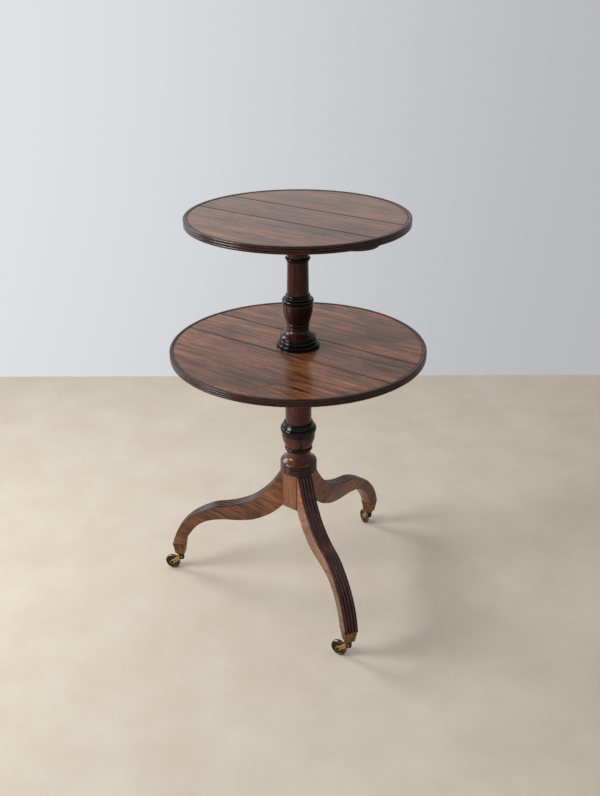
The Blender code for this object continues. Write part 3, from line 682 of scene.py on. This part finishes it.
def prism(outline, low, high):
    """A flat outline made solid from low to high."""
    shape = bmesh.new()
    base = shape.faces.new([shape.verts.new((x, y, low)) for x, y in outline])
    raise_faces(shape, [base], high - low)
    return shape


def rounded_bar(first, last, width, steps):
    """The outline of a flat bar with round ends about two points."""
    run = last - first
    heading = math.atan2(run.y, run.x)
    outline = []
    for centre, start in ((last, heading - math.pi / 2), (first, heading + math.pi / 2)):
        for angle in arc(start, start + math.pi, steps):
            outline.append(tuple(centre + Vector((math.cos(angle), math.sin(angle))) * width / 2))
    return outline


def stand_up(shape, turn=0.0):
    """Stands a shape made flat on its edge, and then turns it about Z."""
    upright = Matrix.Rotation(math.radians(turn), 3, "Z") @ Matrix.Rotation(math.radians(90), 3, "X")
    bmesh.ops.rotate(shape, cent=(0, 0, 0), matrix=upright, verts=shape.verts)


# Columns

def pillar(place, tier, mouldings, finishes, shaft_radius, hub_radius, foot):
    """A pillar finely turned in one piece with the hub that its tier's bearer turns on."""
    hub_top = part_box(f"{tier}_strip")[0].z - seat_gap
    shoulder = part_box(f"{tier}_bearer")[0].z - seat_gap
    bands = [([(0, hub_top), (hub_radius, hub_top), (hub_radius, shoulder)], "wood")]
    bands += column_bands(mouldings, shaft_radius, shoulder, foot)
    bands += [([(0, foot)], "wood")]
    shape = turned(bands, finishes, round_steps)
    finish_piece(f"{place}_pillar", shape, finishes.values(), "stand",
                 [f"{place}_column"], location=axis)


def columns():
    """Both pillars, and the six-sided block at the foot of the lower one."""
    upper_finishes = {"wood": column_wood, "black": ring_black, "deep": vase_wood}
    pillar("upper", "top", upper_mouldings, upper_finishes, upper_shaft_radius, top_hub_radius,
           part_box("upper_column")[0].z)
    lower_finishes = {"wood": column_wood, "black": ring_black, "warm": bell_wood, "crest": base_crest_highlight}
    pillar("lower", "lower", lower_mouldings, lower_finishes, lower_shaft_radius, lower_hub_radius, block_top)
    corner = block_apothem / math.cos(math.radians(180 / block_sides))
    outline = [(toward(360 / block_sides * side) * corner).xy for side in range(block_sides)]
    block = finish_piece("leg_block", prism(outline, block_bottom, block_top), [block_wood], "stand",
                         location=axis, turn=leg_turn)
    soften(block, block_edge, segments=4)


# Tiers

def rim_bands(radius, top, seat_radius):
    """Half of a round tier's outline: surface, lip, reeded edge and underside."""
    surface = top - lip_height
    under = top - tier_thickness
    inner = radius - lip_width
    flat = [(0, surface)]
    if seat_radius:
        flat = [(0, surface - base_recess), (seat_radius, surface - base_recess), (seat_radius, surface)]
    lip = []
    for share in (step / lip_steps for step in range(lip_steps + 1)):
        rise = lip_height * math.sin(math.pi / 2 * min(1, lip_steepness * share))
        lip.append((inner + (lip_width - reed_depth) * share, surface + rise))
    bands = [(flat + [(inner / 2, surface), (inner, surface)], "surface"), (lip, "rim")]
    reed_height = tier_thickness / tier_reeds
    for reed in range(tier_reeds):
        bead = moulding("bead", top - reed_height * reed, reed_height, radius - reed_depth, radius)
        # The grooves beside each reed of the edge get the black groove finish: painted shade
        bands += crested(bead, "groove", "rim", rim_groove_steps)
    return bands + [([(radius / 2, under), (0, under)], "under")]


def hinge_pockets(tier, finishes):
    """An object that holds the pockets of a tier's flaps and the round reliefs of their knuckles."""
    shape = bmesh.new()
    gap = Vector((pocket_gap, pocket_gap, pocket_gap))
    for side in ("back", "front"):
        for end in ("left", "right"):
            pin_low, pin_high, pin = spans(f"{tier}_{side}_{end}_hinge_pin")
            for kind in ("fixed_flap", "moving_flap"):
                low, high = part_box(f"{tier}_{side}_{end}_{kind}")
                low, high = low - gap, high + gap
                runs_back = (kind == "moving_flap") == (side == "back")
                low.y, high.y = sorted((pin.y, high.y if runs_back else low.y))
                high.z = pin.z + knuckle_relief
                place = Matrix.LocRotScale((low + high) / 2, None, high - low)
                bmesh.ops.create_cube(shape, size=1, matrix=place)
            bmesh.ops.create_cone(
                shape, cap_ends=True, segments=relief_steps, radius1=knuckle_relief, radius2=knuckle_relief,
                depth=pin_high.x - pin_low.x + 2 * pocket_gap,
                matrix=Matrix.Translation(pin) @ Matrix.Rotation(math.radians(90), 4, "Y"),
            )
    for face in shape.faces:
        face.material_index = list(finishes).index("under")
    cutter = shaped_object("pockets", shape, finishes.values())
    # A board is made about Z and goes to the column's axis at the end
    cutter.location = -axis
    return cutter


def cut_away(board, cutter, finishes):
    """The board with the cutter's boxes and rounds taken out of it."""
    holder = shaped_object("board", board, finishes.values())
    cut = holder.modifiers.new("pockets", "BOOLEAN")
    cut.operation = "DIFFERENCE"
    cut.object = cutter
    cut.use_self = True
    bpy.context.view_layer.update()
    result = bmesh.new()
    result.from_mesh(holder.evaluated_get(bpy.context.evaluated_depsgraph_get()).to_mesh())
    bpy.data.objects.remove(holder)
    bpy.data.objects.remove(cutter)
    return result


def tiers():
    """Strip and leaves of both tiers, sawn from one finely turned disc each, with the hinges' pockets."""
    joint = strip_half + leaf_gap
    base_radius = upper_mouldings[-1][3] * upper_shaft_radius + base_margin
    for tier, radius, top, woods, seat_radius in (
        ("top", top_radius, strip_high.z, top_woods, 0),
        ("lower", lower_radius, lower_strip_high.z, lower_woods, base_radius),
    ):
        for part, wood, cuts, body in (
            ("strip", "strip", ((strip_half, 1), (-strip_half, -1)), "stand"),
            ("back_leaf", "back", ((joint, -1),), f"{tier}_back_leaf"),
            ("front_leaf", "front", ((-joint, 1),), f"{tier}_front_leaf"),
        ):
            finishes = {
                "surface": woods[wood], "rim": rim_wood, "under": underside_wood, "groove": painted_groove_shade,
            }
            board = turned(rim_bands(radius, top, seat_radius), finishes, tier_steps)
            for y, facing in cuts:
                cut_flat(board, (0, y, 0), (0, facing, 0), list(finishes).index("under"))
            board = cut_away(board, hinge_pockets(tier, finishes), finishes)
            piece = finish_piece(f"{tier}_{part}_board", board, finishes.values(), body,
                                 [f"{tier}_{part}"], smooth=30, location=axis)
            soften(piece, board_edge, segments=1, angle=60)


# Legs

def leg_section(upper, lower, width):
    """The points of one section of a leg: up one side, over the reeds and down the other side."""
    upper, lower = Vector((upper[0], 0, upper[1])), Vector((lower[0], 0, lower[1]))
    rise = (upper - lower).normalized()
    half = width / 2
    bed = upper - rise * leg_reed_height
    side = [(half - leg_chamfer, lower), (half, lower + rise * leg_chamfer), (half, bed)]
    reed_width = (width - 2 * leg_fillet) / leg_reeds
    top = []
    for reed in range(leg_reeds):
        start = half - leg_fillet - reed_width * reed
        for angle in arc(0, math.pi, bead_steps)[:-1]:
            across = start - reed_width * (1 - math.cos(angle)) / 2
            top.append((across, bed + rise * leg_reed_height * math.sin(angle)))
    top.append((leg_fillet - half, bed))
    other = [(-across, point) for across, point in reversed(side)]
    return [point + Vector((0, across, 0)) for across, point in side + top + other]


def edge_points(edge, toe, root_height):
    """A leg's edge in the leg's own plane, from the block to the cup."""
    root = block_apothem + seat_gap
    end = cup_top + seat_gap
    points = [(root + (toe - root) * run, end + (root_height - end) * rise) for run, rise in edge]
    return smooth_through(points, leg_steps)


def leg_shape():
    """A curved leg with black reeds whose crests carry a lighter painted highlight, as material 1 and 2."""
    side_points = 3
    crest_steps = (bead_steps // 2 - 1, bead_steps // 2)
    uppers = edge_points(leg_upper_edge, toe_radius + leg_toe_depth / 2, block_top - seat_gap)
    lowers = edge_points(leg_lower_edge, toe_radius - leg_toe_depth / 2, block_bottom)
    shape = bmesh.new()
    rings = []
    for index, (upper, lower) in enumerate(zip(uppers, lowers)):
        along = index / (len(uppers) - 1)
        width = leg_root_width + (leg_toe_width - leg_root_width) * along
        rings.append([shape.verts.new(point) for point in leg_section(upper, lower, width)])
    count = len(rings[0])
    for first, second in zip(rings, rings[1:]):
        for here in range(count):
            there = (here + 1) % count
            face = shape.faces.new((first[here], second[here], second[there], first[there]))
            if side_points - 1 <= here < count - side_points - 1:
                # Material 2 is the lighter crest of each reed: painted highlight
                face.material_index = 2 if (here - side_points) % bead_steps in crest_steps else 1
    shape.faces.new(rings[0])
    shape.faces.new(list(reversed(rings[-1])))
    bmesh.ops.recalc_face_normals(shape, faces=shape.faces)
    return shape


# Castors

def cup_shape():
    """A tapered square cup with a rolled lip, which is material 1."""
    lip_low = cup_top - cup_lip_height
    share = (lip_low - cup_bottom) / (cup_top - cup_bottom)
    lip_side = cup_bottom_side + (cup_top_side - cup_bottom_side) * share
    levels = [
        (cup_bottom, cup_bottom_side - cup_foot_inset, 0),
        (cup_bottom + cup_foot_height, cup_bottom_side, 0),
        (lip_low, lip_side, 0),
    ]
    for angle in arc(0, math.pi, lip_steps)[1:]:
        height = lip_low + cup_lip_height * (1 - math.cos(angle)) / 2
        levels.append((height, lip_side + 2 * cup_lip_proud * math.sin(angle), 1))
    shape = bmesh.new()
    rings = []
    for height, side, _ in levels:
        far, near = side / 2, side / 2 - cup_corner
        outline = []
        for x, y in ((1, 1), (-1, 1), (-1, -1), (1, -1)):
            ends = [(x * far, y * near), (x * near, y * far)]
            outline += ends if x * y > 0 else reversed(ends)
        rings.append([shape.verts.new((x, y, height)) for x, y in outline])
    shape.faces.new(list(reversed(rings[0])))
    for (_, _, material), first, second in zip(levels[1:], rings, rings[1:]):
        for here in range(len(first)):
            there = (here + 1) % len(first)
            corners = (first[here], first[there], second[there], second[here])
            shape.faces.new(corners).material_index = material
    shape.faces.new(rings[-1]).material_index = 1
    return shape


def yoke_bottom():
    """The yoke ends where the wheel's tread comes near it, as in the CAD."""
    beside = castor_trail - yoke_radius - cut_overrun
    return wheel_radius + math.sqrt(max(0.0, wheel_radius**2 - beside**2))


def fork_pieces(name, toe, trail, body):
    """Crown and yoke, and two bright cheeks with a pin spot and the axle's head on each."""
    crown_top = cup_bottom - seat_gap
    crown_bottom = crown_top - crown_height
    yoke_low = yoke_bottom()
    outline = [
        (0, crown_top), (crown_radius - crown_edge_width, crown_top),
        (crown_radius, crown_top - crown_edge_height), (crown_radius, crown_bottom + crown_edge_height),
        (crown_radius - crown_edge_width, crown_bottom), (yoke_radius, crown_bottom),
        (yoke_radius, yoke_low + yoke_edge), (yoke_radius - yoke_edge, yoke_low), (0, yoke_low),
    ]
    boss = turned([(outline, "iron")], ["iron"], small_steps)
    finish_piece(f"{name}_castor_boss", boss, [dark_iron], body, [f"{name}_castor_fork"],
                 location=toe)
    upper = Vector((0, (crown_bottom + yoke_low) / 2))
    lower = Vector((castor_trail, wheel_radius))
    inner = wheel_width / 2 + seat_gap
    outer = inner + cheek_thickness
    for side, label in ((-1, "near"), (1, "far")):
        low, high = sorted((side * inner, side * outer))
        cheek = prism(rounded_bar(upper, lower, cheek_width, cheek_steps), low, high)
        stand_up(cheek)
        plate = finish_piece(f"{name}_castor_cheek_{label}", cheek, [cheek_brass], body,
                             location=toe, turn=trail)
        soften(plate, cheek_edge)
        rivets = bmesh.new()
        for share, radius in ((pin_spot_share, pin_spot_radius), (1.0, axle_spot_radius)):
            spot = upper + (lower - upper) * share
            place = Matrix.Translation((spot.x, -side * outer, spot.y))
            bmesh.ops.create_uvsphere(
                rivets, u_segments=spot_steps, v_segments=spot_steps // 2, radius=radius,
                matrix=place @ Matrix.Diagonal((1, spot_flatness, 1, 1)),
            )
        finish_piece(f"{name}_castor_rivets_{label}", rivets, [dark_iron], body,
                     location=toe, turn=trail)


def wheel_shape(trail):
    """A wheel square to its trail: dark sides with a recessed web, and a lighter tread."""
    half = wheel_width / 2
    sides = [(radius, half - depth) for radius, depth in wheel_face]
    tread = [(radius, half - depth) for radius, depth in tread_edge]
    bands = [
        (sides, "side"),
        (tread + [(radius, -height) for radius, height in reversed(tread)], "tread"),
        ([(radius, -height) for radius, height in reversed(sides)], "side"),
    ]
    shape = turned(bands, ["side", "tread"], wheel_steps)
    stand_up(shape, trail)
    return shape


def legs_and_castors():
    """Each leg with its cup, fork and wheel."""
    for name, angle in leg_angles.items():
        turn = angle + leg_turn
        trail = trail_angles[name]
        toe = axis + toward(turn) * toe_radius
        hub = toe + toward(trail) * castor_trail + Vector((0, 0, wheel_radius))
        finish_piece(f"{name}_reeded_leg", leg_shape(), [leg_wood, reed_black, reed_crest_highlight], "stand",
                     [f"{name}_leg"], smooth=50, location=axis, turn=turn)
        finish_piece(f"{name}_box_cup", cup_shape(), [cup_brass, dark_iron], "stand",
                     [f"{name}_castor_cup", f"{name}_castor_washer"], location=toe, turn=turn)
        fork_pieces(name, toe, trail, f"{name}_castor")
        finish_piece(f"{name}_brass_wheel", wheel_shape(trail), [wheel_brass, tread_brass], f"{name}_wheel",
                     [f"{name}_castor_wheel"], location=hub)


# Bearers, plug and hinges

def bearers():
    """The swinging rests, with smooth round ends."""
    for tier in ("top", "lower"):
        low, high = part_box(f"{tier}_bearer")
        end = Vector(((high.x - low.x - bearer_width) / 2, 0))
        shape = prism(rounded_bar(-end, end, bearer_width, bearer_steps), low.z, high.z)
        rest = finish_piece(f"{tier}_leaf_rest", shape, [bearer_wood], f"{tier}_bearer",
                            [f"{tier}_bearer"], location=axis)
        soften(rest, bearer_edge, segments=3)


def plug():
    """The wooden plug over the fixing of the top strip."""
    surface = strip_high.z - lip_height
    outline = [
        (0, surface + plug_rise), (plug_radius - plug_edge, surface + plug_rise),
        (plug_radius, surface - plug_edge), (plug_radius, surface - plug_depth), (0, surface - plug_depth),
    ]
    shape = turned([(outline, "wood")], ["wood"], small_steps)
    finish_piece("fixing_plug", shape, [plug_wood], "stand", ["top_plug"], location=axis)


def screws(name, flap, body, outward):
    """Slotted screws in a hinge flap, seen from below, each as the two halves beside its slot."""
    low, high, middle = spans(flap)
    edge = high.y if outward > 0 else low.y
    face = high.z - flap_thickness
    shape = bmesh.new()
    for along, inward in screw_places:
        for side in (-1, 1):
            verts = [
                shape.verts.new((
                    middle.x + along + screw_radius * math.cos(angle),
                    edge - outward * inward + side * max(screw_slot_half, screw_radius * math.sin(angle)),
                    face - screw_rise,
                ))
                for angle in arc(0, math.pi, screw_steps)
            ]
            if side > 0:
                verts.reverse()
            shape.faces.new(verts)
    raise_faces(shape, shape.faces[:], 2 * screw_rise)
    finish_piece(name, shape, [dark_iron], body)


def hinges():
    """Finishes for the CAD's hinges, and the screws of their flaps."""
    for tier in ("top", "lower"):
        for side, sign in (("back", 1), ("front", -1)):
            for end in ("left", "right"):
                place = f"{tier}_{side}_{end}"
                for kind, body, outward in (
                    ("fixed_flap", "stand", -sign), ("moving_flap", f"{tier}_{side}_leaf", sign),
                ):
                    dress(f"{place}_{kind}", hinge_brass)
                    screws(f"{place}_{kind}_screws", f"{place}_{kind}", body, outward)
                dress(f"{place}_hinge_pin", dark_iron)


def dress(node, material):
    """A finish for a CAD node that stays."""
    for slot in frame["nodes"][node].material_slots:
        slot.material = material


# Floor, light and camera

camera_offset = Vector((1.0829, -1.5126, 1.4195))
camera_right = Vector((0.81520, 0.57918, -0.00315)).normalized()
ahead = Vector((-0.52244, 0.73297, -0.43568)).normalized()
away = Vector((ahead.x, ahead.y, 0)).normalized()
sideways = Vector((away.y, -away.x, 0))
up = Vector((0, 0, 1))
focal_length = 40.18
sensor_width = 36.0
clip_distance = 60

# The floor runs from behind the camera to the foot of the photograph's wall
floor_half_width = 14
floor_near = -12
floor_far = 1.27

# Where the sky is brightest, and its strength from the far side to there; then the same for the wall
sky_heading = away * 0.5 - sideways * 0.5 + up * 0.7
sky_start, sky_low, sky_high = -1.05, 0.0, 0.66
wall_heading = away * 0.6 - sideways * 0.8
wall_start, wall_low, wall_high = 0.25, 0.52, 0.89

# Each lamp's place across, away and up from the column's foot, its size, its power in watts and its colour
lamps = {
    "window": (-2.6, -0.8, 1.6, 1.3, 29, (0.93, 0.97, 1.0)),
    "second window": (-2.2, 1.2, 1.9, 1.1, 13.5, (0.93, 0.97, 1.0)),
    "fill": (2.4, -1.6, 2.8, 2.0, 1.8, (0.92, 0.96, 1.0)),
}
lamp_spread = 110
lamp_aim_height = 0.55


def floor():
    """A plain pale floor."""
    edge = [
        axis + sideways * across + away * along
        for across, along in (
            (-floor_half_width, floor_near), (floor_half_width, floor_near),
            (floor_half_width, floor_far), (-floor_half_width, floor_far),
        )
    ]
    mesh = bpy.data.meshes.new("floor")
    mesh.from_pydata(edge, [], [(0, 1, 2, 3)])
    obj = bpy.data.objects.new("floor", mesh)
    bpy.context.scene.collection.objects.link(obj)
    nodes = Nodes(bpy.data.materials.new("pale_floor"))
    tone = nodes.noise(nodes.mapped(), 5.0, detail=6, rough=0.65)
    colour = nodes.ramp(tone, [(0.3, (0.62, 0.52, 0.40)), (0.7, (0.70, 0.61, 0.49))])
    nodes.shade(Base_Color=colour, Roughness=0.75)
    mesh.materials.append(nodes.holder)


def surround():
    """A soft sky that lights the object, and a pale wall that the camera and reflections see instead."""
    world = bpy.data.worlds.new("studio")
    nodes = Nodes(world, "Background")
    nodes.shade(Color=(0.90, 0.92, 0.95, 1))
    rays = nodes.add("ShaderNodeLightPath").outputs
    shown = rays["Is Camera Ray"]
    for kind in ("Is Glossy Ray", "Is Transmission Ray"):
        shown = nodes.compute("Math", "MAXIMUM", shown, rays[kind])[0]
    level = nodes.add("ShaderNodeMix", Factor=shown)
    for key, heading, start, low, high, way in (
        ("A", sky_heading, sky_start, sky_low, sky_high, "LINEAR"),
        ("B", wall_heading, wall_start, wall_low, wall_high, "SMOOTHSTEP"),
    ):
        share = nodes.compute("VectorMath", "DOT_PRODUCT", nodes.place("Generated"), heading)["Value"]
        nodes.feed(level, key, nodes.ranged(share, start, 1, low, high, way))
    nodes.shade(Strength=level.outputs["Result"])
    bpy.context.scene.world = world


def lights():
    """Soft square lamps that face the table."""
    for name, (across, along, height, size, power, colour) in lamps.items():
        light = bpy.data.lights.new(name, "AREA")
        light.shape = "SQUARE"
        light.size = size
        light.energy = power
        light.spread = math.radians(lamp_spread)
        light.color = colour
        lamp = bpy.data.objects.new(name, light)
        bpy.context.scene.collection.objects.link(lamp)
        lamp.location = axis + sideways * across + away * along + up * height
        aim = axis + up * lamp_aim_height - lamp.location
        lamp.rotation_euler = aim.to_track_quat("-Z", "Y").to_euler()


def camera():
    """The photograph's camera, placed from the column's foot."""
    data = bpy.data.cameras.new("camera")
    data.sensor_width = sensor_width
    data.lens = focal_length
    data.clip_end = clip_distance
    view = bpy.data.objects.new("camera", data)
    bpy.context.scene.collection.objects.link(view)
    view.location = axis + camera_offset
    facing = Matrix((camera_right, camera_right.cross(ahead), -ahead)).transposed()
    view.rotation_euler = facing.to_euler()
    bpy.context.scene.camera = view


columns()
tiers()
legs_and_castors()
bearers()
plug()
hinges()
for name in leg_angles:
    dress(f"{name}_castor_axle", dark_iron)
floor()
surround()
lights()
camera()
bpy.context.scene.view_settings.view_transform = "Standard"
